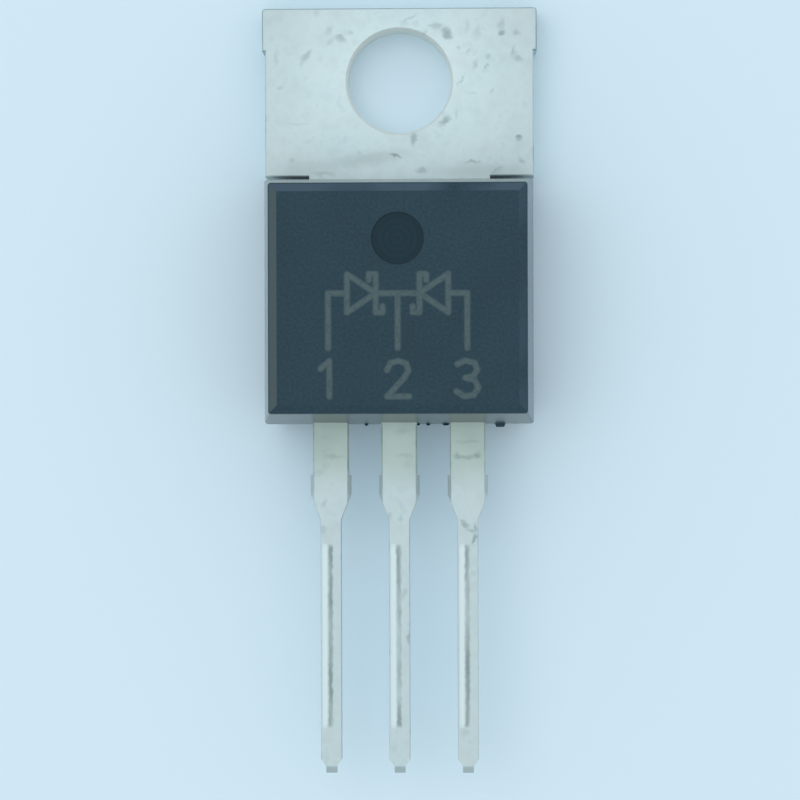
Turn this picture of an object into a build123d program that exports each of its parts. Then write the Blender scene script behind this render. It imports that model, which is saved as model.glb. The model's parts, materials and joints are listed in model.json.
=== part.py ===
from build123d import *
import os
from math import atan2, degrees, radians, tan

# Three-lead dual Schottky rectifier in a moulded package with a copper heatsink tab.
# Millimetres. The origin is the centre of the mounting hole on the seating plane, which is the
# back of the tab. +X runs across the leads, +Y from the leads towards the tab's top edge, and
# +Z from the seating plane towards the moulded front face.

# ---------------------------------------------------------------- driving dimensions
# Copper header: tab, die pad and middle lead stamped from one strip of two gauges
tab_width = 10.35           # across the two ears at the tab's top
tab_waist_width = 10.12     # below the ears
tab_height = 6.35           # top edge to the shoulders
tab_thickness = 1.3
tab_corner_radius = 0.12
tab_edge_radius = 0.08      # edges rolled over by the blanking punch, on the front only
hole_diameter = 3.9
hole_bevel = 0.08           # on the front only
hole_to_tab_top = 2.76
hole_to_ear = 1.15          # hole centre to the step under the ears
neck_width = 6.8
pad_to_posts = 0.85         # pad's lower edge to the posts of the outer leads
lock_flange_reach = 0.35    # ledge on the pad's sides that the moulding grips
lock_flange_thickness = 0.7
lock_flange_start = 1.2     # shoulders to the upper end of the ledge

# Leads
lead_pitch = 2.54
lead_thickness = 0.5
lead_height = 2.6           # seating plane to the middle of the leads' thickness
lead_length = 12.96         # body to tip
lead_root_width = 1.32
lead_width = 0.77
dam_start = 1.91            # body to the cut ends of the dam bar
dam_length = 0.7
dam_width = 1.5
dam_bevel = 0.14            # edge dragged down by the trim punch
taper_length = 0.95
taper_blend = 0.3
lead_edge_radius = 0.04     # rolled edges on the front of the slim stretch
wipe_start = 0.95           # end of the taper to the groove wiped by the test contact
wipe_length = 6.7
wipe_depth = 0.04
wipe_near_width = 0.17      # gentle wall, from the groove's bottom towards -X
wipe_far_width = 0.16       # other wall, from the groove's bottom towards +X
wipe_offset = 0.12          # groove's bottom from the middle of the lead, towards -X
nose_length = 0.26
nose_width = 0.4
nose_taper = 0.27           # length over which the lead narrows to its nose
nose_cut_depth = 0.2        # sheared slope down the front of the nose

# Inner ends of the leads
joggle_length = 1.3         # run over which the middle lead climbs from the pad
joggle_start = 0.45         # pad's lower edge to the foot of the climb
joggle_radius = 0.4
post_width = 2.7
post_length = 1.6
post_offset = 0.1           # post centre outboard of its lead
post_to_body_end = 1.0      # lower edge of the post to the body's lower edge
post_radius = 0.25

# Moulded body
body_width = 10.0           # at the parting plane
body_length = 9.1           # at the parting plane
body_front = 4.5            # seating plane to the front face
body_edge_radius = 0.12     # on the corners and on both edges of the rim
rim_width = 0.33            # sloping rim round the front face, seen from the front
rim_depth = 0.15
front_draft = 8.0           # degrees, on the two sides and the tab's end
front_draft_leads = 12.5    # on the end that the leads come out of
neck_draft = 5.0            # on the block over the neck
back_draft = 5.0            # degrees
back_relief = 0.05          # the moulding stays behind the seating plane
shoulder_gap = 0.2          # tab shoulders to the body at the parting plane
neck_block_depth = 0.5      # how far the block over the neck runs into the body
ejector_diameter = 1.93
ejector_depth = 0.08
ejector_to_body_top = 2.3   # mark's centre to the body's upper edge at the parting plane
gate_width = 0.53
gate_height = 0.26
gate_reach = 0.12
gate_root = 0.2             # buried length of the gate stub
gate_draft = 20.0           # degrees
gate_offset = 3.75          # from the middle of the body

# Silicon chips, solder and bond wires
chip_size = 2.6
chip_thickness = 0.25
chip_spacing = 3.5          # centre to centre
chip_to_pad_end = 0.65      # chips' lower edge to the pad's lower edge
solder_thickness = 0.05
solder_margin = 0.1         # beyond the chip on each side
wire_diameter = 0.38
wire_spacing = 1.0
wire_foot_length = 0.8
wire_foot_sink = 0.07       # how much of the wire is pressed flat under each bond
wire_loop_rise = 0.6        # peak of the loop above the post
wire_climb = 1.2            # run over which the wire climbs from the chip to the loop's peak
wire_bend_radius = 0.8      # over the top of the loop; the bonds' heels are sharp
wire_chip_inset = 0.45      # lower edge of the chip to the near end of the bond
wire_post_inset = 0.35      # upper edge of the post to the near end of the bond

# ---------------------------------------------------------------- derived places
tab_top = hole_to_tab_top
shoulder = tab_top - tab_height
body_top = shoulder - shoulder_gap
body_end = body_top - body_length
lead_end = body_end - lead_length
lead_back = lead_height - lead_thickness / 2
lead_front = lead_height + lead_thickness / 2
pad_lead_height = tab_thickness - lead_thickness / 2
post_end = body_end + post_to_body_end
post_top = post_end + post_length
pad_end = post_top + pad_to_posts
pad_length = shoulder - pad_end
chip_end = pad_end + chip_to_pad_end
chip_middle = chip_end + chip_size / 2
chip_back = tab_thickness + solder_thickness
chip_front = chip_back + chip_thickness
dam_top = body_end - dam_start
dam_end = dam_top - dam_length
slim_top = dam_end - taper_length
nose_top = lead_end + nose_length
narrowing_top = nose_top + nose_taper

os.makedirs("parts", exist_ok=True)


def finish(builder, name):
    """Label a finished piece and write it out."""
    builder.part.label = name
    export_step(builder.part, f"parts/{name}.step")


def lead_blade(x_middle):
    """The stretch of one lead outside the moulding, with its root just inside it."""
    with BuildPart() as blade:
        # Plan form, one half drawn and mirrored
        with BuildSketch(Plane.XY.offset(lead_back)) as plan:
            with BuildLine():
                outline = Polyline(
                    (0, post_end),
                    (lead_root_width / 2, post_end),
                    (lead_root_width / 2, dam_top),
                    (dam_width / 2, dam_top),
                    (dam_width / 2, dam_end),
                    (lead_width / 2, slim_top),
                    (lead_width / 2, narrowing_top),
                    (nose_width / 2, nose_top),
                    (nose_width / 2, lead_end),
                    (0, lead_end),
                )
                mirror(outline, about=Plane.YZ)
            make_face()
            fillet(plan.vertices().filter_by_position(Axis.Y, slim_top, slim_top), taper_blend)
        extrude(amount=lead_thickness)
        # Edges dragged down where the dam bar was cut off
        front_edges = blade.edges().filter_by(Axis.Y).group_by(Axis.Z)[-1]
        chamfer(front_edges.filter_by_position(Axis.Y, dam_end, dam_top), dam_bevel)
        # Rolled edges of the slim stretch
        fillet(front_edges.filter_by_position(Axis.Y, lead_end, slim_top), lead_edge_radius)
        # Sheared slope of the nose
        with BuildSketch(Plane.YZ):
            with BuildLine():
                Polyline(
                    (lead_end, lead_front),
                    (nose_top, lead_front),
                    (lead_end, lead_front - nose_cut_depth),
                    close=True,
                )
            make_face()
        extrude(amount=nose_width, both=True, mode=Mode.SUBTRACT)
        # Groove wiped along the front by the test contact
        with BuildSketch(Plane.XZ.offset(-(slim_top - wipe_start))):
            with BuildLine():
                Polyline(
                    (-wipe_offset - wipe_near_width, lead_front),
                    (-wipe_offset, lead_front - wipe_depth),
                    (wipe_far_width - wipe_offset, lead_front),
                    close=True,
                )
            make_face()
        extrude(amount=wipe_length, mode=Mode.SUBTRACT)
    return blade.part.moved(Location((x_middle, 0, 0)))


# ---------------------------------------------------------------- copper header
with BuildPart() as header:
    # Tab with ears, shoulders and neck
    with BuildSketch() as tab_plan:
        with Locations((0, tab_top)):
            Rectangle(tab_width, hole_to_tab_top - hole_to_ear, align=(Align.CENTER, Align.MAX))
            Rectangle(tab_waist_width, tab_height, align=(Align.CENTER, Align.MAX))
        fillet(tab_plan.vertices().group_by(Axis.Y)[-1], tab_corner_radius)
        with Locations((0, shoulder)):
            Rectangle(neck_width, pad_length, align=(Align.CENTER, Align.MAX))
    extrude(amount=tab_thickness)
    # Mounting hole
    with Locations((0, 0, tab_thickness)):
        Hole(radius=hole_diameter / 2)
    chamfer(header.faces().sort_by(Axis.Z)[-1].inner_wires()[0].edges(), hole_bevel)
    outer_edges = header.faces().sort_by(Axis.Z)[-1].outer_wire().edges()
    fillet(outer_edges.filter_by_position(Axis.Y, shoulder, tab_top), tab_edge_radius)
    # Ledge along the pad's sides
    with BuildSketch(Plane.XY.offset(tab_thickness)):
        with Locations((0, shoulder - lock_flange_start)):
            Rectangle(
                neck_width + 2 * lock_flange_reach,
                pad_length - lock_flange_start,
                align=(Align.CENTER, Align.MAX),
            )
    extrude(amount=-lock_flange_thickness)
    # Joggle from the pad up to the plane of the leads
    with BuildSketch(Plane.YZ):
        with BuildLine():
            FilletPolyline(
                (pad_end + joggle_start, pad_lead_height),
                (pad_end - joggle_start, pad_lead_height),
                (pad_end - joggle_start - joggle_length, lead_height),
                (body_end, lead_height),
                radius=joggle_radius,
            )
        trace(line_width=lead_thickness)
    extrude(amount=lead_root_width / 2, both=True)
    # Middle lead
    add(lead_blade(0))
finish(header, "header_and_cathode_lead")

# ---------------------------------------------------------------- outer leads
outer_leads = []
for name, side in (("anode_lead_left", -1), ("anode_lead_right", 1)):
    with BuildPart() as anode_lead:
        with BuildSketch(Plane.XY.offset(lead_back)):
            with Locations((side * (lead_pitch + post_offset), (post_top + post_end) / 2)):
                RectangleRounded(post_width, post_length, post_radius)
        extrude(amount=lead_thickness)
        add(lead_blade(side * lead_pitch))
    finish(anode_lead, name)
    outer_leads.append(anode_lead.part)

# ---------------------------------------------------------------- chips and solder
chips = []
solders = []
for name, side in (("left", -1), ("right", 1)):
    chip_x = side * chip_spacing / 2
    with BuildPart() as solder:
        with BuildSketch(Plane.XY.offset(tab_thickness)):
            with Locations((chip_x, chip_middle)):
                Rectangle(chip_size + 2 * solder_margin, chip_size + 2 * solder_margin)
        with BuildSketch(Plane.XY.offset(chip_back)):
            with Locations((chip_x, chip_middle)):
                Rectangle(chip_size, chip_size)
        loft()
    finish(solder, f"chip_solder_{name}")
    solders.append(solder.part)

    with BuildPart() as chip:
        with BuildSketch(Plane.XY.offset(chip_back)):
            with Locations((chip_x, chip_middle)):
                Rectangle(chip_size, chip_size)
        extrude(amount=chip_thickness)
    finish(chip, f"chip_{name}")
    chips.append(chip.part)

# ---------------------------------------------------------------- bond wires
wires = []
for side_name, side, chip_part, lead_part in (
    ("left", -1, chips[0], outer_leads[0]),
    ("right", 1, chips[1], outer_leads[1]),
):
    for place_name, step in (("inner", -0.5), ("outer", 0.5)):
        start_x = side * (chip_spacing / 2 + step * wire_spacing)
        end_x = side * (lead_pitch + post_offset + step * wire_spacing)
        start_y = chip_end + wire_chip_inset + wire_foot_length
        end_y = post_top - wire_post_inset - wire_foot_length
        # Upright plane through both bonds, its x axis running from the chip to the post
        run = Vector(end_x - start_x, end_y - start_y, 0)
        upright = Plane(
            origin=(start_x, start_y, 0), x_dir=run, z_dir=run.cross(Vector(0, 0, 1))
        )
        rise = wire_diameter / 2 - wire_foot_sink
        with BuildPart() as wire:
            with BuildLine(upright) as loop:
                chip_bond = Line((0, chip_front + rise), (wire_foot_length, chip_front + rise))
                post_bond = Line(
                    (run.length - wire_foot_length, lead_front + rise),
                    (run.length, lead_front + rise),
                )
                FilletPolyline(
                    chip_bond @ 1,
                    (wire_foot_length + wire_climb, lead_front + wire_loop_rise),
                    post_bond @ 0,
                    radius=wire_bend_radius,
                )
            with BuildSketch(Plane(origin=loop.line @ 0, z_dir=loop.line % 0)):
                Circle(wire_diameter / 2)
            sweep(transition=Transition.RIGHT)
            # The bonds are pressed flat on the chip and on the post
            add(chip_part, mode=Mode.SUBTRACT)
            add(lead_part, mode=Mode.SUBTRACT)
        finish(wire, f"bond_wire_{side_name}_{place_name}")
        wires.append(wire.part)

# ---------------------------------------------------------------- moulded body
rim_base = body_front - rim_depth
front_run = (rim_base - lead_height) * tan(radians(front_draft))
leads_run = (rim_base - lead_height) * tan(radians(front_draft_leads))
back_run = (lead_height - back_relief) * tan(radians(back_draft))
with BuildPart() as body:
    # Profile along the body, extruded across it and trimmed by the profile across
    with BuildSketch(Plane.YZ):
        with BuildLine():
            Polyline(
                (body_top, lead_height),
                (body_top - front_run, rim_base),
                (body_end + leads_run, rim_base),
                (body_end, lead_height),
                (body_end + back_run, back_relief),
                (body_top - back_run, back_relief),
                close=True,
            )
        make_face()
    extrude(amount=body_width / 2, both=True)
    with BuildSketch(Plane.XZ.offset(-body_top)):
        with BuildLine():
            Polyline(
                (-body_width / 2, lead_height),
                (front_run - body_width / 2, rim_base),
                (body_width / 2 - front_run, rim_base),
                (body_width / 2, lead_height),
                (body_width / 2 - back_run, back_relief),
                (back_run - body_width / 2, back_relief),
                close=True,
            )
        make_face()
    extrude(amount=body_length, mode=Mode.INTERSECT)
    # Rim round the front face, and rounded edges
    rim_slope = degrees(atan2(rim_width, rim_depth))
    extrude(body.faces().sort_by(Axis.Z)[-1], amount=rim_depth, taper=rim_slope)
    corners = body.edges().filter_by(Plane.XY, reverse=True)
    rim_outer, rim_inner = body.edges().filter_by(Plane.XY).group_by(Axis.Z)[-2:]
    fillet(corners + rim_outer + rim_inner, body_edge_radius)
    # Over the neck the front half's end runs on down to the tab's front
    with BuildSketch(Plane.YZ):
        with BuildLine():
            Polyline(
                (body_top - neck_block_depth, tab_thickness),
                (body_top + (lead_height - tab_thickness) * tan(radians(neck_draft)),
                 tab_thickness),
                (body_top, lead_height),
                (body_top - neck_block_depth, lead_height),
                close=True,
            )
        make_face()
    extrude(amount=neck_width / 2, both=True)
    # Ejector pin mark
    with Locations((0, body_top - ejector_to_body_top, body_front)):
        Hole(radius=ejector_diameter / 2, depth=ejector_depth)
    # Broken stub of the moulding gate
    with BuildSketch(Plane.XZ.offset(-(body_end + gate_root))):
        with Locations((gate_offset, lead_height)):
            Rectangle(gate_width, gate_height)
    extrude(amount=gate_root + gate_reach, taper=gate_draft)
    # The moulding fills round everything that it encloses
    for enclosed in (header.part, *outer_leads, *solders, *chips, *wires):
        add(enclosed, mode=Mode.SUBTRACT)
finish(body, "moulded_body")
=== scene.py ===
import json
from functools import partial
from math import atan2, pi, radians
from random import Random

import bmesh
import bpy
from bpy.props import FloatProperty, FloatVectorProperty, PointerProperty
from bpy.types import Operator, Panel, PropertyGroup
from mathutils import Euler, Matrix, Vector


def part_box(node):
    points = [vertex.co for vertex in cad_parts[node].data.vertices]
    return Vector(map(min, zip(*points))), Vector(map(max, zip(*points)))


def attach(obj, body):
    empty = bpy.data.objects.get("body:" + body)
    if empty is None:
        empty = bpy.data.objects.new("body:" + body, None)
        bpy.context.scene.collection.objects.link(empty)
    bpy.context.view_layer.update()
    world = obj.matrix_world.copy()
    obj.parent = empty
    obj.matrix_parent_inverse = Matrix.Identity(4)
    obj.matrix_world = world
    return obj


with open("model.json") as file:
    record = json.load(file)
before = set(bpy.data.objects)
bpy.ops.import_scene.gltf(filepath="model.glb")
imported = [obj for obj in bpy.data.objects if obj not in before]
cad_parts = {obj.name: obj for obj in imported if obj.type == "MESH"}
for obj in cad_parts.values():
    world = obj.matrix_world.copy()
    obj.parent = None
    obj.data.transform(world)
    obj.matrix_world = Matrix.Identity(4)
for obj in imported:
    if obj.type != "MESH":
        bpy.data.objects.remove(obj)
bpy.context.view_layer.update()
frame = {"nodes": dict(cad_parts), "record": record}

bl_info = {
    "name": "Tabbed power diode",
    "version": (1, 0, 0),
    "blender": (4, 5, 0),
    "location": "View3D > Sidebar > Diode",
    "description": "Dresses a three-lead tabbed power diode: moulding, tin plating, marking and studio",
    "category": "Object",
}

# ---------------------------------------------------------------- frame
MM = 0.001
NODES = frame["nodes"]
BODY = "moulded_body"
HEADER = "header_and_cathode_lead"
ANODES = ("anode_lead_left", "anode_lead_right")

BODY_LOW, BODY_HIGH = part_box(BODY)
HEADER_LOW, HEADER_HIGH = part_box(HEADER)
MOUNTS = {mount["name"]: Vector(mount["pos_m"]) for mount in frame["record"]["mounts"]}

FRONT = BODY_HIGH.z                              # moulded front face
LEAD_PITCH = MOUNTS["anode_lead_right_end"].x
LEAD_FRONT = HEADER_HIGH.z
LEAD_MIDDLE = LEAD_FRONT - 0.25 * MM             # parting plane of the moulding
LEAD_END = HEADER_LOW.y
TAB_TOP = HEADER_HIGH.y
TAB_HALF_WIDTH = HEADER_HIGH.x
BODY_HALF_WIDTH = BODY_HIGH.x

# Places that the part's drawing gives and its boxes don't, in metres
GATE_REACH = 0.12 * MM
BODY_END = BODY_LOW.y + GATE_REACH               # where the leads come out
BODY_TOP = BODY_END + 9.1 * MM
PIN_MARK = Vector((0, BODY_TOP - 2.3 * MM, FRONT))
PIN_MARK_RADIUS = 0.965 * MM
TAB_FRONT = 1.3 * MM
HOLE_EDGE = 2.1 * MM                             # just outside the hole's bevel
EAR_STEP = 1.1 * MM                              # just below the step under the ears
DAM_TOP = BODY_END - 1.91 * MM                   # cut ends of the bar that joined the leads
DAM_END = DAM_TOP - 0.7 * MM
SLIM_TOP = DAM_END - 0.95 * MM
GROOVE_TOP = SLIM_TOP - 0.95 * MM                # groove wiped by a test contact
GROOVE_END = GROOVE_TOP - 6.7 * MM
NOSE_TOP = LEAD_END + 0.26 * MM


# ---------------------------------------------------------------- colour and nodes
def colour(hex_code):
    """Linear RGB of an sRGB hex colour."""
    channels = [int(hex_code[i:i + 2], 16) / 255 for i in (1, 3, 5)]
    return [c / 12.92 if c <= 0.04045 else ((c + 0.055) / 1.055) ** 2.4 for c in channels]


def rgba(rgb):
    """A colour property or list as the four numbers that a colour socket takes."""
    return (*rgb[:3], 1.0)


def per_metre(size_mm):
    """Texture scale at which one feature is that many millimetres long."""
    return 1000 / size_mm


def add_node(tree, kind, inputs=None, output=0, **settings):
    """Add one shader node, with its settings, link or fill its inputs, and return an output."""
    node = tree.nodes.new(kind)
    for name, value in settings.items():
        setattr(node, name, value)
    for socket, value in (inputs or {}).items():
        if isinstance(value, bpy.types.NodeSocket):
            tree.links.new(value, node.inputs[socket])
        else:
            node.inputs[socket].default_value = value
    return node.outputs[output] if node.outputs else None


def band(tree, value, low, high, blur):
    """1 where the value lies between low and high, fading over the blur at each end."""
    rise = add_node(
        tree, "ShaderNodeMapRange",
        {"Value": value, "From Min": low - blur, "From Max": low + blur})
    fall = add_node(
        tree, "ShaderNodeMapRange",
        {"Value": value, "From Min": high + blur, "From Max": high - blur})
    return add_node(tree, "ShaderNodeMath", {0: rise, 1: fall}, operation="MULTIPLY")


def new_material(name):
    """An empty node material and its tree."""
    material = bpy.data.materials.new(name)
    material.use_nodes = True
    material.node_tree.nodes.clear()
    return material, material.node_tree


def finish_material(tree, shader):
    """Join the finished shader to the material's output."""
    add_node(tree, "ShaderNodeOutputMaterial", {"Surface": shader})


def dress(node_name, material):
    """Give a CAD node its finish."""
    mesh = NODES[node_name].data
    mesh.materials.clear()
    mesh.materials.append(material)


# ---------------------------------------------------------------- settings
class MouldingSettings(PropertyGroup):
    colour: FloatVectorProperty(
        name="Moulding", description="Colour of the moulded epoxy", subtype="COLOR",
        default=colour("#213844"), min=0, max=1)
    rough_colour: FloatVectorProperty(
        name="Grain", description="Colour of the grain's pale specks", subtype="COLOR",
        default=colour("#294450"), min=0, max=1)
    pin_mark_colour: FloatVectorProperty(
        name="Pin mark", description="Colour of the smooth disc left by the ejector pin",
        subtype="COLOR", default=colour("#0C2A36"), min=0, max=1)
    roughness: FloatProperty(
        name="Roughness", description="Roughness of the spark-eroded mould's print",
        default=0.6, min=0, max=1, subtype="FACTOR")
    # Rim and wall colours: painted reflection, seen at a low angle on the sloping rim and drafted walls
    rim_reflection_colour: FloatVectorProperty(
        name="Rim", description="Colour of the sloping rim round the front", subtype="COLOR",
        default=colour("#3E5464"), min=0, max=1)
    right_wall_reflection_colour: FloatVectorProperty(
        name="Right wall", description="Colour of the right drafted wall", subtype="COLOR",
        default=colour("#244458"), min=0, max=1)
    left_rim_reflection_colour: FloatVectorProperty(
        name="Left rim", description="Colour of the sloping rim along the left side",
        subtype="COLOR", default=colour("#45555A"), min=0, max=1)
    wall_reflection_colour: FloatVectorProperty(
        name="Walls", description="Colour of the other drafted walls",
        subtype="COLOR", default=colour("#374648"), min=0, max=1)
    wall_roughness: FloatProperty(
        name="Wall roughness", description="Roughness of the drafted walls",
        default=0.25, min=0, max=1, subtype="FACTOR")


class PlatingSettings(PropertyGroup):
    colour: FloatVectorProperty(
        name="Tin", description="Colour of the matt tin", subtype="COLOR",
        default=colour("#D2E5E9"), min=0, max=1)
    smudge_colour: FloatVectorProperty(
        name="Smudges", description="Colour of handling marks on the tin", subtype="COLOR",
        default=colour("#95ABAC"), min=0, max=1)
    # Painted shade along the rolled edges, and darker shear lines on the sheared walls
    edge_shade_and_shear_colour: FloatVectorProperty(
        name="Edges", description="Colour of the rolled edges", subtype="COLOR",
        default=colour("#8FA2A6"), min=0, max=1)
    # Painted shade on the leads beside the moulding, from the body's shadow and its dark reflection
    root_shade_colour: FloatVectorProperty(
        name="Resin bleed", description="Colour of the leads beside the moulding",
        subtype="COLOR", default=colour("#B6CAC6"), min=0, max=1)
    cut_colour: FloatVectorProperty(
        name="Cut faces", description="Colour of the sheared faces and of the tips",
        subtype="COLOR", default=colour("#B4C6C8"), min=0, max=1)
    # The next two colours paint a highlight on each groove's near wall and shade at its bottom
    burnished_highlight_colour: FloatVectorProperty(
        name="Burnished", description="Colour of the groove wall that the contact polished",
        subtype="COLOR", default=colour("#DAF0F5"), min=0, max=1)
    groove_shading_colour: FloatVectorProperty(
        name="Groove", description="Colour of the bottom of the groove", subtype="COLOR",
        default=colour("#96A9AA"), min=0, max=1)
    # Painted light on the wall of the punched hole, against the shade it sits in
    hole_wall_light_colour: FloatVectorProperty(
        name="Punched wall", description="Colour of the wall of the punched hole",
        subtype="COLOR", default=colour("#E2E8E6"), min=0, max=1)
    roughness: FloatProperty(
        name="Roughness", description="Roughness of the matt tin", default=0.68, min=0, max=1,
        subtype="FACTOR")


class MarkingSettings(PropertyGroup):
    colour: FloatVectorProperty(
        name="Marking", description="Colour of the laser-burnt moulding", subtype="COLOR",
        default=colour("#4B5F63"), min=0, max=1)
    stroke: FloatProperty(
        name="Stroke", description="Width of the laser's line", default=0.23 * MM,
        min=0.05 * MM, unit="LENGTH")
    digit_height: FloatProperty(
        name="Digit height", description="Height of the lead numbers", default=1.3 * MM,
        min=0.3 * MM, unit="LENGTH")


class StageSettings(PropertyGroup):
    floor_colour: FloatVectorProperty(
        name="Floor", description="Colour of the pale floor", subtype="COLOR",
        default=colour("#D1E9F6"), min=0, max=1)
    sky_level: FloatProperty(
        name="Sky level", description="Share of the light that comes from all round",
        default=0.87, min=0, max=2)
    lamp_level: FloatProperty(
        name="Lamp level", description="Share of the light that comes from the soft lamp",
        default=0.17, min=0, max=2)
    camera_height: FloatProperty(
        name="Camera height", description="Camera above the floor", default=0.105, min=0.02,
        unit="LENGTH")
    lens: FloatProperty(
        name="Lens", description="Focal length on a 36 mm sensor, in millimetres",
        default=124.0, min=20, max=400)


SETTINGS = {
    "diode_moulding": MouldingSettings,
    "diode_plating": PlatingSettings,
    "diode_marking": MarkingSettings,
    "diode_stage": StageSettings,
}


# ---------------------------------------------------------------- moulding
WALL_GLOSS = 0.9                                 # share of the clear sheen on the walls
RIGHT_WALL_GLOSS = 0.7
COAT_ROUGHNESS = 0.3
PIN_MARK_ROUGHNESS = 0.42

# Marking on the front, each stroke a list of x, y in mm. The symbol's left half is its right
# half mirrored: two diodes whose cathodes, with hooked bars, meet on the middle lead.
SYMBOL = (
    ((2.54, -10.1), (2.54, -8.1), (1.85, -8.1)),
    ((1.85, -7.4), (1.85, -8.8), (0.8, -8.1), (1.85, -7.4)),
    ((1.05, -7.62), (1.05, -7.4), (0.8, -7.4), (0.8, -8.8), (0.55, -8.8), (0.55, -8.58)),
    ((0.8, -8.1), (0, -8.1), (0, -10.1)),
)
# Lead numbers in a simple stroked face, one digit high, about their own middle
DIGITS = (
    (((-0.22, 0.28), (0.03, 0.5), (0.03, -0.5)),),
    (((-0.3, 0.24), (-0.2, 0.44), (0.02, 0.5), (0.24, 0.42), (0.3, 0.22), (0.18, 0.02),
      (-0.3, -0.5), (0.32, -0.5)),),
    (((-0.28, 0.4), (-0.06, 0.5), (0.2, 0.44), (0.28, 0.24), (0.16, 0.06), (-0.06, 0.02),
      (0.2, -0.04), (0.31, -0.26), (0.18, -0.46), (-0.08, -0.5), (-0.31, -0.36)),),
)
DIGIT_MIDDLE = -11.22


def nearest_stroke(tree, place, strokes):
    """Distance in the front's plane from the place to the nearest of the strokes."""
    node = partial(add_node, tree)
    nearest = None
    for stroke in strokes:
        corners = [Vector((x, y, 0)) * MM for x, y in stroke]
        for start, end in zip(corners, corners[1:]):
            run = end - start
            from_start = node("ShaderNodeVectorMath", {0: place, 1: -start}, operation="ADD")
            along = node(
                "ShaderNodeVectorMath", {0: from_start, 1: run / run.length_squared},
                output="Value", operation="DOT_PRODUCT")
            held = node(
                "ShaderNodeMath", {0: along, 1: 0.0}, operation="ADD", use_clamp=True)
            off = node(
                "ShaderNodeVectorMath", {0: held, 1: -run, 2: from_start},
                operation="MULTIPLY_ADD")
            distance = node(
                "ShaderNodeVectorMath", {0: off}, output="Value", operation="LENGTH")
            if nearest is None:
                nearest = distance
            else:
                nearest = node(
                    "ShaderNodeMath", {0: nearest, 1: distance}, operation="MINIMUM")
    return nearest


def marking_line(tree, place, marking):
    """Distance from the place to the nearest stroke of the symbol and of the lead numbers."""
    node = partial(add_node, tree)
    flat = node("ShaderNodeVectorMath", {0: place, 1: (1, 1, 0)}, operation="MULTIPLY")
    one_side = node("ShaderNodeVectorMath", {0: flat}, operation="ABSOLUTE")
    one_side = node("ShaderNodeVectorMath", {0: one_side, 1: (1, -1, 0)}, operation="MULTIPLY")
    nearest = nearest_stroke(tree, one_side, SYMBOL)
    high = marking.digit_height / MM
    for number, digit in enumerate(DIGITS):
        middle = (number - 1) * LEAD_PITCH / MM
        strokes = [
            [(middle + x * high, DIGIT_MIDDLE + y * high) for x, y in stroke] for stroke in digit]
        digit_line = nearest_stroke(tree, flat, strokes)
        nearest = node("ShaderNodeMath", {0: nearest, 1: digit_line}, operation="MINIMUM")
    return nearest


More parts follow.
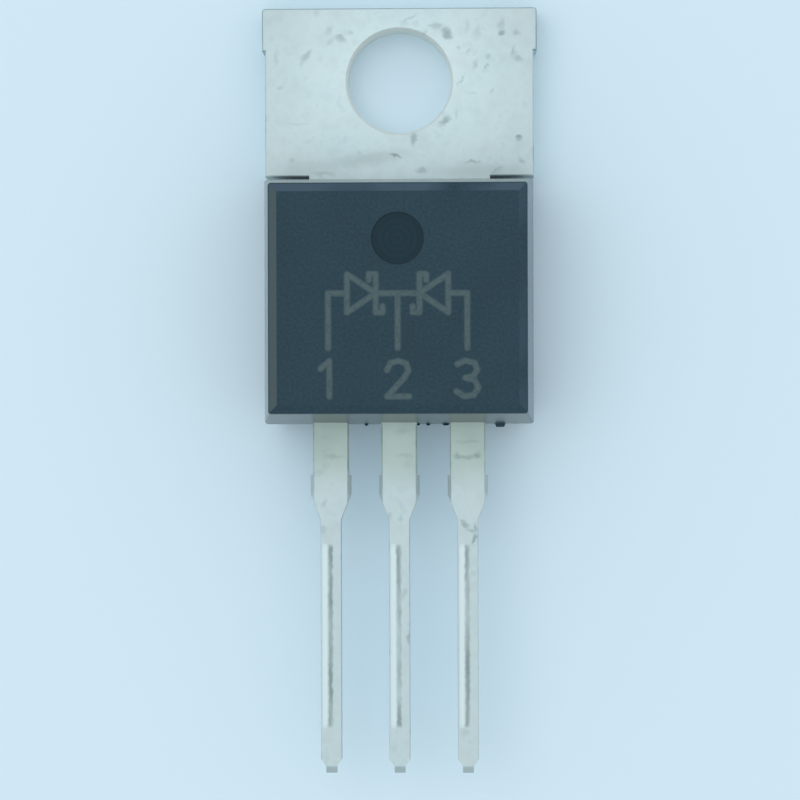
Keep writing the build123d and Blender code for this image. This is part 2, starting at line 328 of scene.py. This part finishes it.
def moulded_epoxy(name, settings, marking):
    """Black silica-filled epoxy, transfer moulded, with a laser-burnt marking.

    The front and back are printed matt by the spark-eroded die, with a fine grain that is a
    little greyer where the filler shows. The drafted walls are smoother and shine at a low angle,
    and their lighter colours are painted reflection, bluer on the right wall. The rim is painted
    greyer with reflection on all but the side of the leads, and warmer along the left side.
    """
    material, tree = new_material(name)
    node = partial(add_node, tree)
    coordinates = node("ShaderNodeTexCoord").node.outputs
    place = coordinates["Object"]
    normal_x, normal_y, facing = node(
        "ShaderNodeSeparateXYZ", {0: coordinates["Normal"]}).node.outputs
    flatness = node("ShaderNodeMath", {0: facing}, operation="ABSOLUTE")

    # The print's grain is 0.05 mm, drawn at 0.1 mm so that it shows
    grain = node(
        "ShaderNodeTexNoise",
        {"Vector": place, "Scale": per_metre(0.1), "Detail": 3.0, "Roughness": 0.6})
    cloud = node(
        "ShaderNodeTexNoise", {"Vector": place, "Scale": per_metre(2.5), "Detail": 2.0})
    speck = node("ShaderNodeMapRange", {"Value": grain, "From Min": 0.35, "From Max": 0.75})
    drift = node(
        "ShaderNodeMapRange", {"Value": cloud, "From Min": 0.3, "From Max": 0.7, "To Max": 0.3})
    tone = node("ShaderNodeMath", {0: speck, 1: drift}, operation="ADD", use_clamp=True)
    shade = node(
        "ShaderNodeMix",
        {"Factor": tone, "A": rgba(settings.colour), "B": rgba(settings.rough_colour)},
        output="Result", data_type="RGBA")

    # Walls and rim: the walls' colours are painted reflection, bluer on the right wall. The rim's
    # painted reflection is full at the tab's end, broken by a slow noise, weaker round the sides and
    # none at the leads, and warmer along the left side
    off_right = node(
        "ShaderNodeMapRange", {"Value": normal_x, "From Min": 0.6, "From Max": 0.1})
    walls = node(
        "ShaderNodeMix",
        {"Factor": off_right, "A": rgba(settings.right_wall_reflection_colour), "B": rgba(settings.wall_reflection_colour)},
        output="Result", data_type="RGBA")
    wall = node("ShaderNodeMapRange", {"Value": flatness, "From Min": 0.8, "From Max": 0.3})
    shade = node(
        "ShaderNodeMix", {"Factor": wall, "A": shade, "B": walls}, output="Result",
        data_type="RGBA")
    side = node("ShaderNodeMath", {0: normal_x}, operation="ABSOLUTE")
    towards = node("ShaderNodeMath", {0: side, 1: 0.35, 2: normal_y}, operation="MULTIPLY_ADD")
    lit = node("ShaderNodeMapRange", {"Value": towards, "From Max": 0.38})
    patchy = node("ShaderNodeMapRange", {"Value": cloud, "From Min": 0.3, "From Max": 0.6})
    rim = band(tree, facing, 0.84, 0.975, 0.02)
    left = node("ShaderNodeMapRange", {"Value": normal_x, "From Min": -0.1, "From Max": -0.3})
    left_reflection = node("ShaderNodeMath", {0: rim, 1: left}, operation="MULTIPLY")
    rim = node("ShaderNodeMath", {0: rim, 1: lit}, operation="MULTIPLY")
    rim = node("ShaderNodeMath", {0: rim, 1: patchy}, operation="MULTIPLY")
    # Painted reflection on the rim, and a warmer painted reflection along the left side
    for amount, rim_reflection_colour in (
            (rim, settings.rim_reflection_colour), (left_reflection, settings.left_rim_reflection_colour)):
        shade = node(
            "ShaderNodeMix", {"Factor": amount, "A": shade, "B": rgba(rim_reflection_colour)},
            output="Result", data_type="RGBA")

    # Ejector pin mark: a smoother, darker disc with faint turned rings
    from_pin = node(
        "ShaderNodeVectorMath", {0: place, 1: PIN_MARK}, output="Value", operation="DISTANCE")
    disc = node(
        "ShaderNodeMapRange",
        {"Value": from_pin, "From Min": PIN_MARK_RADIUS + 0.01 * MM,
         "From Max": PIN_MARK_RADIUS - 0.03 * MM})
    turns = node(
        "ShaderNodeMath", {0: from_pin, 1: 2 * pi / (0.24 * MM)}, operation="MULTIPLY")
    rings = node("ShaderNodeMath", {0: turns}, operation="SINE")
    ring_tone = node(
        "ShaderNodeMapRange", {"Value": rings, "From Min": -1.0, "To Min": 0.86, "To Max": 1.0})
    pin_factor = node("ShaderNodeMath", {0: disc, 1: ring_tone}, operation="MULTIPLY")
    shade = node(
        "ShaderNodeMix",
        {"Factor": pin_factor, "A": shade, "B": rgba(settings.pin_mark_colour)},
        output="Result", data_type="RGBA")

    # Marking: the burn frays at the line's edges and is broken by unburnt grain
    fray = node(
        "ShaderNodeTexNoise", {"Vector": place, "Scale": per_metre(0.12), "Detail": 2.0})
    frayed = node(
        "ShaderNodeMath", {0: fray, 1: 0.08 * MM, 2: marking_line(tree, place, marking)},
        operation="MULTIPLY_ADD")
    burn = node(
        "ShaderNodeMapRange",
        {"Value": frayed, "From Min": marking.stroke / 2 + 0.07 * MM,
         "From Max": marking.stroke / 2 - 0.01 * MM})
    broken = node(
        "ShaderNodeMapRange",
        {"Value": fray, "From Min": 0.3, "From Max": 0.55, "To Min": 0.6})
    front = node("ShaderNodeMapRange", {"Value": facing, "From Min": 0.9, "From Max": 0.97})
    burn = node("ShaderNodeMath", {0: burn, 1: broken}, operation="MULTIPLY")
    burn = node("ShaderNodeMath", {0: burn, 1: front}, operation="MULTIPLY")
    shade = node(
        "ShaderNodeMix", {"Factor": burn, "A": shade, "B": rgba(marking.colour)},
        output="Result", data_type="RGBA")

    # Gloss: walls shine at a low angle, the right one less
    gloss = node(
        "ShaderNodeMapRange",
        {"Value": off_right, "To Min": RIGHT_WALL_GLOSS, "To Max": WALL_GLOSS})
    gloss = node("ShaderNodeMath", {0: gloss, 1: wall}, operation="MULTIPLY")
    roughness = node(
        "ShaderNodeMapRange",
        {"Value": flatness, "From Min": 0.3, "From Max": 0.8,
         "To Min": settings.wall_roughness, "To Max": settings.roughness})
    roughness = node("ShaderNodeMix", {"Factor": disc, "A": roughness, "B": PIN_MARK_ROUGHNESS})
    bump = node(
        "ShaderNodeBump", {"Height": grain, "Strength": 0.5, "Distance": 0.01 * MM})
    shader = node(
        "ShaderNodeBsdfPrincipled",
        {"Base Color": shade, "Roughness": roughness, "IOR": 1.55,
         "Specular IOR Level": 0.15, "Coat Weight": gloss, "Coat Roughness": COAT_ROUGHNESS,
         "Normal": bump})
    finish_material(tree, shader)
    return material


def torn_epoxy(name, settings):
    """Black silica-filled epoxy with a broken surface: duller and darker than the printed faces."""
    material, tree = new_material(name)
    node = partial(add_node, tree)
    place = node("ShaderNodeTexCoord", output="Object")
    grain = node(
        "ShaderNodeTexNoise", {"Vector": place, "Scale": per_metre(0.05), "Detail": 2.0})
    tone = node("ShaderNodeMapRange", {"Value": grain, "To Min": 0.5, "To Max": 1.1})
    shade = node(
        "ShaderNodeVectorMath", {0: rgba(settings.colour)[:3], "Scale": tone},
        operation="SCALE")
    shader = node(
        "ShaderNodeBsdfPrincipled",
        {"Base Color": shade, "Roughness": 0.8, "IOR": 1.55, "Specular IOR Level": 0.15})
    finish_material(tree, shader)
    return material


class DIODE_OT_moulded_body(Operator):
    """Finish the moulded body and its marking"""
    bl_idname = "diode.moulded_body"
    bl_label = "Moulded body"

    def execute(self, context):
        scene = context.scene
        dress(BODY, moulded_epoxy("moulded_epoxy", scene.diode_moulding, scene.diode_marking))
        return {"FINISHED"}


# Crumbs of epoxy on the parting line between the leads: x and width in mm
CRUMBS = ((-1.22, 0.16), (0.71, 0.14), (1.08, 0.2), (1.73, 0.28))
CRUMB_THICKNESS = 0.15 * MM


def crumb(name, x, width, chance):
    """A ragged crumb of epoxy, half sunk in the moulding's end between the leads."""
    mesh = bpy.data.meshes.new(name)
    shape = bmesh.new()
    bmesh.ops.create_icosphere(shape, subdivisions=2, radius=CRUMB_THICKNESS / 2)
    for vertex in shape.verts:
        vertex.co *= chance.uniform(0.75, 1.0)
        vertex.co.x *= width / CRUMB_THICKNESS
    shape.to_mesh(mesh)
    shape.free()
    piece = bpy.data.objects.new(name, mesh)
    piece.location = (x, BODY_END, LEAD_MIDDLE)
    bpy.context.scene.collection.objects.link(piece)
    return piece


class DIODE_OT_moulding_crumbs(Operator):
    """Add the crumbs of epoxy left along the parting line, between the leads"""
    bl_idname = "diode.moulding_crumbs"
    bl_label = "Moulding crumbs"

    def execute(self, context):
        chance = Random(4)
        settings = context.scene.diode_moulding
        material = torn_epoxy("torn_epoxy", settings)
        for number, (x, width) in enumerate(CRUMBS):
            piece = crumb(f"moulding_crumb_{number + 1}", x * MM, width * MM, chance)
            piece.data.materials.append(material)
            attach(piece, "root")
        return {"FINISHED"}


# ---------------------------------------------------------------- plated copper
LEAD_LEVEL = 0.885                               # brightness of the leads' deposit
BURNISHED_ROUGHNESS = 0.32

# Marks on the tab's front, most of them from handling: x, y, half length, half width in mm, turn in
# degrees, depth
TAB_MARKS = (
    (-2.65, 1.95, 0.20, 0.12, 40, 0.35),
    (-2.20, 1.65, 0.24, 0.12, -35, 0.55),
    (-2.60, 1.50, 0.18, 0.10, 60, 0.30),
    (-1.85, 1.85, 0.12, 0.10, 0, 0.30),
    (-3.50, 0.95, 0.26, 0.12, 50, 0.55),
    (-3.65, 0.70, 0.20, 0.08, 75, 0.30),
    (-4.65, 0.90, 0.28, 0.10, 85, 0.25),
    (-4.50, -0.25, 0.14, 0.10, 0, 0.30),
    (0.40, 2.35, 0.42, 0.05, 35, 0.35),
    (0.90, 1.75, 0.26, 0.08, 60, 0.40),
    (1.40, 2.05, 0.28, 0.12, -5, 0.45),
    (1.80, 1.80, 0.26, 0.17, -60, 0.75),
    (2.55, 2.05, 0.26, 0.10, 85, 0.25),
    (2.95, 1.85, 0.30, 0.12, 80, 0.25),
    (3.85, 1.80, 0.13, 0.12, 0, 0.85),
    (3.85, 2.15, 0.26, 0.14, 75, 0.40),
    (4.40, 1.80, 0.16, 0.13, 0, 0.55),
    (4.30, 1.10, 0.24, 0.10, 80, 0.45),
    (4.50, 0.85, 0.22, 0.10, -20, 0.50),
    (3.35, 0.90, 0.13, 0.12, 0, 0.35),
    (3.30, 0.55, 0.12, 0.09, 60, 0.35),
    (2.85, 0.60, 0.18, 0.08, 80, 0.40),
    (2.60, 1.10, 0.14, 0.08, 60, 0.30),
    (2.25, 1.25, 0.10, 0.09, 0, 0.35),
    (2.35, 0.05, 0.26, 0.06, 60, 0.35),
    (3.50, -0.40, 0.12, 0.08, 40, 0.35),
    (2.75, -0.45, 0.14, 0.06, 0, 0.25),
    (1.70, -1.50, 0.26, 0.14, 40, 0.60),
    (2.15, -1.25, 0.20, 0.06, 85, 0.25),
    (0.55, -2.15, 0.26, 0.11, 85, 0.70),
    (-0.15, -2.78, 0.26, 0.06, -14, 1.00),
    # The three long, shallow marks along the tab's lower edge darken it beside the moulding
    (-1.10, -2.90, 1.40, 0.30, 8, 0.32),
    (3.00, -3.35, 1.60, 0.25, 0, 0.20),
    (-3.40, -3.20, 1.20, 0.25, 0, 0.15),
    (2.75, -3.05, 0.34, 0.07, 0, 0.55),
    (3.65, -3.35, 0.26, 0.12, 20, 0.45),
    (4.50, -2.15, 0.14, 0.12, 60, 0.95),
    (4.60, -3.00, 0.18, 0.10, -40, 0.50),
    (-4.05, -3.00, 0.12, 0.10, 0, 0.40),
    (0.85, -3.35, 0.22, 0.12, 0, 0.40),
    (-2.90, -3.45, 0.50, 0.08, -5, 0.35),
    (-3.90, -1.60, 0.60, 0.05, 0, 0.20),
)
# The same on the leads' front, where the trim tool and the socket touched them
LEAD_MARKS = (
    (-2.40, -14.10, 0.34, 0.08, -5, 0.45),
    (0.18, -14.05, 0.30, 0.10, 0, 0.40),
    (2.50, -14.10, 0.50, 0.08, 0, 0.65),
    (2.15, -14.08, 0.12, 0.12, 0, 0.80),
    (2.88, -14.05, 0.12, 0.12, 0, 0.80),
    (2.55, -13.55, 0.46, 0.07, 0, 0.35),
    (0.10, -13.15, 0.30, 0.12, 0, 0.35),
    (-2.80, -15.85, 0.20, 0.10, 80, 0.35),
    (-2.85, -16.80, 0.16, 0.12, 0, 0.35),
    (-0.40, -16.30, 0.18, 0.10, 60, 0.35),
    (0.05, -16.40, 0.12, 0.08, 60, 0.30),
    (2.42, -16.62, 0.18, 0.10, -50, 0.85),
    (2.65, -16.85, 0.20, 0.08, -20, 0.60),
    (2.82, -16.75, 0.14, 0.07, 85, 0.80),
    (2.78, -17.15, 0.22, 0.07, 75, 0.80),
    (0.20, -19.20, 0.16, 0.08, 60, 0.35),
    (0.32, -20.85, 0.24, 0.06, 90, 0.75),
    (-2.62, -24.00, 0.20, 0.14, 0, 0.20),
    (2.42, -24.30, 0.20, 0.14, 0, 0.25),
)


def handled(tree, place, marks, front):
    """Depth of the handling marks at a place on the front, from 0 to 1."""
    node = partial(add_node, tree)
    deepest = 0.0
    for x, y, half_length, half_width, turn, depth in marks:
        local = node(
            "ShaderNodeMapping",
            {"Vector": place, "Location": (x * MM, y * MM, front),
             "Rotation": (0, 0, radians(turn)),
             "Scale": (half_length * MM, half_width * MM, 0.4 * MM)},
            vector_type="TEXTURE")
        reach = node("ShaderNodeVectorMath", {0: local}, output="Value", operation="LENGTH")
        mark = node(
            "ShaderNodeMapRange",
            {"Value": reach, "From Min": 1.5, "From Max": 0.2, "To Max": depth},
            interpolation_type="SMOOTHSTEP")
        deepest = node("ShaderNodeMath", {0: deepest, 1: mark}, operation="MAXIMUM")
    return deepest


def tin_brightness(tree, place, on_lead, cloud, mottle):
    """Brightness of the tin: highest about a point near the tab's middle, falling towards its
    corners, lower again on the leads, and varied by slow noise."""
    node = partial(add_node, tree)
    from_middle = node(
        "ShaderNodeVectorMath", {0: place, 1: (0, -1 * MM, TAB_FRONT)}, output="Value",
        operation="DISTANCE")
    tab_level = node(
        "ShaderNodeMapRange",
        {"Value": from_middle, "From Min": 2.5 * MM, "From Max": 5.9 * MM, "To Min": 1.015,
         "To Max": 0.88})
    level = node("ShaderNodeMix", {"Factor": on_lead, "A": tab_level, "B": LEAD_LEVEL})
    for noise, reach in ((cloud, 0.03), (mottle, 0.04)):
        change = node(
            "ShaderNodeMapRange",
            {"Value": noise, "From Min": 0.28, "From Max": 0.72, "To Min": 1 - reach,
             "To Max": 1 + reach})
        level = node("ShaderNodeMath", {0: level, 1: change}, operation="MULTIPLY")
    return level


def groove_light_and_shade(tree, lead_x, ragged_x, y, z, torn):
    """How much painted highlight each lead's groove gets on its burnished near wall, and how much
    painted shade at its bottom.
    """
    node = partial(add_node, tree)
    front = node(
        "ShaderNodeMath", {0: z, 1: LEAD_FRONT - 0.1 * MM}, operation="GREATER_THAN")
    length = band(tree, y, GROOVE_END, GROOVE_TOP, 0.08 * MM)
    groove = node("ShaderNodeMath", {0: front, 1: length}, operation="MULTIPLY")
    near_wall = band(tree, lead_x, -0.29 * MM, -0.14 * MM, 0.045 * MM)
    bright = node("ShaderNodeMath", {0: groove, 1: near_wall}, operation="MULTIPLY")
    bottom = band(tree, ragged_x, -0.105 * MM, 0.055 * MM, 0.04 * MM)
    bottom = node("ShaderNodeMath", {0: bottom, 1: torn}, operation="MULTIPLY")
    dark = node("ShaderNodeMath", {0: groove, 1: bottom}, operation="MULTIPLY")
    return bright, dark


def matt_tin(name, settings):
    """Matt tin electroplated over stamped copper.

    The deposit's crystals make it a satin grey-white with no clear reflection. It is soft, so it
    carries scuffs and fingerprints, the leads beside the moulding carry painted shade from the body,
    a test contact has burnished a groove in each lead, with a painted highlight on its near wall and
    painted shade at its bottom, and where the strip was sheared after plating it is darker.
    """
    material, tree = new_material(name)
    node = partial(add_node, tree)
    coordinates = node("ShaderNodeTexCoord").node.outputs
    place = coordinates["Object"]
    x, y, z = node("ShaderNodeSeparateXYZ", {0: place}).node.outputs
    on_lead = node("ShaderNodeMath", {0: y, 1: BODY_END + 2 * MM}, operation="LESS_THAN")
    lead_x = node(
        "ShaderNodeMath", {0: x, 1: LEAD_PITCH / 2, 2: -LEAD_PITCH / 2}, operation="WRAP")

    # Noises, from the crystals up; the crystals are 0.005 mm, drawn at 0.06 mm so that they show
    crystal, fine, mottle, cloud = (
        node("ShaderNodeTexNoise", {"Vector": place, "Scale": per_metre(size), "Detail": detail})
        for size, detail in ((0.06, 2.0), (0.22, 2.0), (0.5, 3.0), (1.6, 4.0)))
    drawn_out = node("ShaderNodeVectorMath", {0: place, 1: (1, 0.2, 1)}, operation="MULTIPLY")
    streak = node(
        "ShaderNodeTexNoise", {"Vector": drawn_out, "Scale": per_metre(0.45), "Detail": 2.0})

    level = tin_brightness(tree, place, on_lead, cloud, mottle)
    shade = node(
        "ShaderNodeVectorMath", {0: rgba(settings.colour)[:3], "Scale": level},
        operation="SCALE")

    # Painted shade on the leads beside the moulding, where the body shades them and shows dark in them,
    # fading along the leads
    root_shade = node(
        "ShaderNodeMapRange",
        {"Value": y, "From Min": BODY_END - 2.7 * MM, "From Max": BODY_END - 1.0 * MM},
        interpolation_type="SMOOTHSTEP")
    root_shade = node("ShaderNodeMath", {0: root_shade, 1: on_lead}, operation="MULTIPLY")
    shade = node(
        "ShaderNodeMix", {"Factor": root_shade, "A": shade, "B": rgba(settings.root_shade_colour)},
        output="Result", data_type="RGBA")

    # Handling marks, their edges broken up by the fine noise, and faint scuffs all over
    shift = node(
        "ShaderNodeVectorMath", {0: fine.node.outputs["Color"], 1: (-0.5, -0.5, -0.5)},
        operation="ADD")
    warped = node(
        "ShaderNodeVectorMath", {0: shift, 1: (0.3 * MM, 0.3 * MM, 0), 2: place},
        operation="MULTIPLY_ADD")
    marks = node(
        "ShaderNodeMath",
        {0: handled(tree, warped, TAB_MARKS, TAB_FRONT),
         1: handled(tree, warped, LEAD_MARKS, LEAD_FRONT)}, operation="MAXIMUM")
    uneven = node(
        "ShaderNodeMapRange",
        {"Value": mottle, "From Min": 0.3, "From Max": 0.7, "To Min": 0.65, "To Max": 1.1})
    marks = node("ShaderNodeMath", {0: marks, 1: uneven}, operation="MULTIPLY")
    scuffs = node(
        "ShaderNodeMapRange",
        {"Value": mottle, "From Min": 0.58, "From Max": 0.8, "To Max": 0.3})
    marks = node("ShaderNodeMath", {0: marks, 1: scuffs}, operation="MAXIMUM")
    shade = node(
        "ShaderNodeMix", {"Factor": marks, "A": shade, "B": rgba(settings.smudge_colour)},
        output="Result", data_type="RGBA")

    # Groove on each lead: painted highlight on its burnished near wall, painted shade at its bottom
    torn = node(
        "ShaderNodeMapRange",
        {"Value": streak, "From Min": 0.38, "From Max": 0.62, "To Min": 0.25})
    ragged_x = node("ShaderNodeMath", {0: fine, 1: 0.12 * MM, 2: lead_x}, operation="MULTIPLY_ADD")
    ragged_x = node("ShaderNodeMath", {0: ragged_x, 1: 0.06 * MM}, operation="SUBTRACT")
    bright, dark = groove_light_and_shade(tree, lead_x, ragged_x, y, z, torn)
    # Painted highlight on the near wall, painted shade at the bottom
    for amount, groove_shading_colour in (
            (bright, settings.burnished_highlight_colour), (dark, settings.groove_shading_colour)):
        shade = node(
            "ShaderNodeMix", {"Factor": amount, "A": shade, "B": rgba(groove_shading_colour)},
            output="Result", data_type="RGBA")

    # Rolled edges: a painted dark line of shade, broken but for the one round the tab's top and its
    # ears. The hole's wall gets a painted lighter colour against its shade, and the sheared walls carry
    # upright darker shear lines
    flat = node("ShaderNodeVectorMath", {0: place, 1: (1, 1, 0)}, operation="MULTIPLY")
    from_hole = node("ShaderNodeVectorMath", {0: flat}, output="Value", operation="LENGTH")
    off_hole = node(
        "ShaderNodeMath", {0: from_hole, 1: HOLE_EDGE}, operation="GREATER_THAN")
    facing = node("ShaderNodeSeparateXYZ", {0: coordinates["Normal"]}, output="Z")
    flatness = node("ShaderNodeMath", {0: facing}, operation="ABSOLUTE")
    edge = node("ShaderNodeMapRange", {"Value": flatness, "From Min": 0.95, "From Max": 0.6})
    broken = node(
        "ShaderNodeMapRange",
        {"Value": mottle, "From Min": 0.45, "From Max": 0.65, "To Min": 0.05, "To Max": 0.6})
    above_ears = node("ShaderNodeMath", {0: y, 1: EAR_STEP}, operation="GREATER_THAN")
    along_top = node(
        "ShaderNodeMapRange",
        {"Value": mottle, "From Min": 0.35, "From Max": 0.55, "To Min": 0.55, "To Max": 1.0})
    along_top = node("ShaderNodeMath", {0: along_top, 1: above_ears}, operation="MULTIPLY")
    broken = node("ShaderNodeMath", {0: broken, 1: along_top}, operation="MAXIMUM")
    upright = node("ShaderNodeVectorMath", {0: place, 1: (1, 1, 0.12)}, operation="MULTIPLY")
    shear_line = node(
        "ShaderNodeTexNoise", {"Vector": upright, "Scale": per_metre(0.15), "Detail": 2.0})
    shear_line = node(
        "ShaderNodeMapRange",
        {"Value": shear_line, "From Min": 0.3, "From Max": 0.7, "To Min": 0.1, "To Max": 0.45})
    sheared = node("ShaderNodeMapRange", {"Value": flatness, "From Min": 0.45, "From Max": 0.2})
    broken = node("ShaderNodeMix", {"Factor": sheared, "A": broken, "B": shear_line})
    # Painted light on the hole's wall
    punched = node("ShaderNodeMath", {0: off_hole, 1: 1.0}, operation="LESS_THAN")
    punched = node("ShaderNodeMath", {0: punched, 1: edge}, operation="MULTIPLY")
    shade = node(
        "ShaderNodeMix", {"Factor": punched, "A": shade, "B": rgba(settings.hole_wall_light_colour)},
        output="Result", data_type="RGBA")
    # Painted shade on the rolled edges; on the sheared walls, darker shear lines
    edge = node("ShaderNodeMath", {0: edge, 1: broken}, operation="MULTIPLY")
    edge = node("ShaderNodeMath", {0: edge, 1: off_hole}, operation="MULTIPLY")
    shade = node(
        "ShaderNodeMix", {"Factor": edge, "A": shade, "B": rgba(settings.edge_shade_and_shear_colour)},
        output="Result", data_type="RGBA")

    # Lens-shaped sheared stubs of the dam bar, and the sheared tips
    off_lead = node("ShaderNodeMath", {0: lead_x}, operation="ABSOLUTE")
    stub_place = node("ShaderNodeCombineXYZ", {"X": off_lead, "Y": y})
    stub_place = node(
        "ShaderNodeMapping",
        {"Vector": stub_place, "Location": (0.7 * MM, (DAM_TOP + DAM_END) / 2, 0),
         "Scale": (0.085 * MM, 0.42 * MM, MM)}, vector_type="TEXTURE")
    stub_reach = node(
        "ShaderNodeVectorMath", {0: stub_place}, output="Value", operation="LENGTH")
    stub = node("ShaderNodeMapRange", {"Value": stub_reach, "From Min": 1.15, "From Max": 0.75})
    stub = node("ShaderNodeMath", {0: stub, 1: on_lead}, operation="MULTIPLY")
    tip = node(
        "ShaderNodeMapRange",
        {"Value": y, "From Min": NOSE_TOP + 0.05 * MM, "From Max": NOSE_TOP - 0.1 * MM})
    cut = node("ShaderNodeMath", {0: stub, 1: tip}, operation="MAXIMUM")
    shade = node(
        "ShaderNodeMix", {"Factor": cut, "A": shade, "B": rgba(settings.cut_colour)},
        output="Result", data_type="RGBA")

    roughness = node(
        "ShaderNodeMapRange",
        {"Value": cloud, "From Min": 0.3, "From Max": 0.7, "To Min": settings.roughness - 0.05,
         "To Max": settings.roughness + 0.05})
    roughness = node("ShaderNodeMix", {"Factor": bright, "A": roughness, "B": BURNISHED_ROUGHNESS})
    bump = node(
        "ShaderNodeBump", {"Height": crystal, "Strength": 0.4, "Distance": 0.004 * MM})
    shader = node(
        "ShaderNodeBsdfPrincipled",
        {"Base Color": shade, "Metallic": 1.0, "Roughness": roughness, "Normal": bump})
    finish_material(tree, shader)
    return material


class DIODE_OT_plated_copper(Operator):
    """Finish the tab, the header and the leads"""
    bl_idname = "diode.plated_copper"
    bl_label = "Plated copper"

    def execute(self, context):
        tin = matt_tin("matt_tin_plating", context.scene.diode_plating)
        for name in (HEADER, *ANODES):
            dress(name, tin)
        return {"FINISHED"}


# ---------------------------------------------------------------- sealed pieces
def plain_metal(name, base, roughness, grain_mm, metallic=1.0):
    """A small sealed metal or metallised piece, faintly mottled at its own grain."""
    material, tree = new_material(name)
    node = partial(add_node, tree)
    place = node("ShaderNodeTexCoord", output="Object")
    grain = node(
        "ShaderNodeTexNoise", {"Vector": place, "Scale": per_metre(grain_mm), "Detail": 2.0})
    tone = node("ShaderNodeMapRange", {"Value": grain, "To Min": 0.85, "To Max": 1.1})
    shade = node("ShaderNodeVectorMath", {0: base, "Scale": tone}, operation="SCALE")
    shader = node(
        "ShaderNodeBsdfPrincipled",
        {"Base Color": shade, "Metallic": metallic, "Roughness": roughness})
    finish_material(tree, shader)
    return material


class DIODE_OT_sealed_pieces(Operator):
    """Finish the chips, their solder and the bond wires inside the moulding"""
    bl_idname = "diode.sealed_pieces"
    bl_label = "Sealed pieces"

    def execute(self, context):
        finishes = {
            "chip_solder": plain_metal("soft_solder", colour("#B4B6BA"), 0.4, 0.2),
            "chip": plain_metal("metallised_silicon", colour("#8E929C"), 0.25, 0.5, 0.6),
            "bond_wire": plain_metal("drawn_aluminium", colour("#DADBDD"), 0.3, 0.1),
        }
        for name in NODES:
            for start, material in finishes.items():
                if name.startswith(start):
                    dress(name, material)
                    break
        return {"FINISHED"}


# ---------------------------------------------------------------- stage
LAMP_DISTANCE = 0.25
LAMP_SIZE = 0.22
CAMERA_AIM = Vector((0.03 * MM, -12.0 * MM, LEAD_MIDDLE))
CAMERA_OFFSET = 2.7 * MM                         # to the right of the middle
CAMERA_ROLL = radians(-0.15)


class DIODE_OT_stage(Operator):
    """Lay the pale floor and set the lamp, the sky and the camera"""
    bl_idname = "diode.stage"
    bl_label = "Stage"

    def execute(self, context):
        settings = context.scene.diode_stage
        middle = Vector((0, (TAB_TOP + LEAD_END) / 2, 0))

        # Floor: smooth pale card
        mesh = bpy.data.meshes.new("floor")
        shape = bmesh.new()
        bmesh.ops.create_grid(shape, x_segments=1, y_segments=1, size=1.0)
        shape.to_mesh(mesh)
        shape.free()
        floor = bpy.data.objects.new("floor", mesh)
        context.scene.collection.objects.link(floor)
        floor.location = (middle.x, middle.y, HEADER_LOW.z)
        material, tree = new_material("pale_card")
        shader = add_node(
            tree, "ShaderNodeBsdfPrincipled",
            {"Base Color": rgba(settings.floor_colour), "Roughness": 0.9,
             "Specular IOR Level": 0.0})
        finish_material(tree, shader)
        mesh.materials.append(material)

        # Sky: even soft light
        world = bpy.data.worlds.new("studio")
        world.use_nodes = True
        world.node_tree.nodes.clear()
        sky = add_node(
            world.node_tree, "ShaderNodeBackground",
            {"Color": (1, 1, 1, 1), "Strength": settings.sky_level})
        add_node(world.node_tree, "ShaderNodeOutputWorld", {"Surface": sky})
        context.scene.world = world

        # Lamp: one large soft box, high on the left
        distance = LAMP_DISTANCE
        lamp = bpy.data.lights.new("soft_box", "AREA")
        lamp.shape = "SQUARE"
        lamp.size = LAMP_SIZE
        lamp.energy = settings.lamp_level * pi ** 2 * distance ** 2
        lamp_object = bpy.data.objects.new("soft_box", lamp)
        direction = Vector((-0.35, 0.25, 1)).normalized()
        lamp_object.location = middle + direction * distance
        lamp_object.rotation_euler = direction.to_track_quat("Z", "Y").to_euler()
        context.scene.collection.objects.link(lamp_object)

        # Camera: nearly straight above, a little to the right and turned back to the middle
        camera = bpy.data.cameras.new("camera")
        camera.lens = settings.lens
        camera.sensor_width = 36
        camera.clip_start = 0.01
        camera.clip_end = 10
        camera_object = bpy.data.objects.new("camera", camera)
        camera_object.location = (CAMERA_OFFSET, CAMERA_AIM.y, settings.camera_height)
        sight = camera_object.location - CAMERA_AIM
        turn = Euler((0, atan2(sight.x, sight.z), 0)).to_matrix()
        roll = Euler((0, 0, CAMERA_ROLL)).to_matrix()
        camera_object.rotation_euler = (turn @ roll).to_euler()
        context.scene.collection.objects.link(camera_object)
        context.scene.camera = camera_object
        context.scene.view_settings.view_transform = "Standard"
        return {"FINISHED"}


# ---------------------------------------------------------------- add-on
OPERATORS = (
    DIODE_OT_moulded_body,
    DIODE_OT_moulding_crumbs,
    DIODE_OT_plated_copper,
    DIODE_OT_sealed_pieces,
    DIODE_OT_stage,
)


class DIODE_PT_panel(Panel):
    """Lists the settings and the steps that dress the diode"""
    bl_idname = "DIODE_PT_panel"
    bl_label = "Tabbed power diode"
    bl_space_type = "VIEW_3D"
    bl_region_type = "UI"
    bl_category = "Diode"

    def draw(self, context):
        for name, group in SETTINGS.items():
            box = self.layout.box()
            for field in group.__annotations__:
                box.prop(getattr(context.scene, name), field)
        for operator in OPERATORS:
            self.layout.operator(operator.bl_idname)


CLASSES = (*SETTINGS.values(), *OPERATORS, DIODE_PT_panel)


def register():
    for cls in CLASSES:
        bpy.utils.register_class(cls)
    for name, group in SETTINGS.items():
        setattr(bpy.types.Scene, name, PointerProperty(type=group))


def unregister():
    for name in SETTINGS:
        delattr(bpy.types.Scene, name)
    for cls in reversed(CLASSES):
        bpy.utils.unregister_class(cls)


def main():
    """Dress the part."""
    register()
    for operator in OPERATORS:
        group, name = operator.bl_idname.split(".")
        getattr(getattr(bpy.ops, group), name)()


if __name__ == "__main__":
    main()
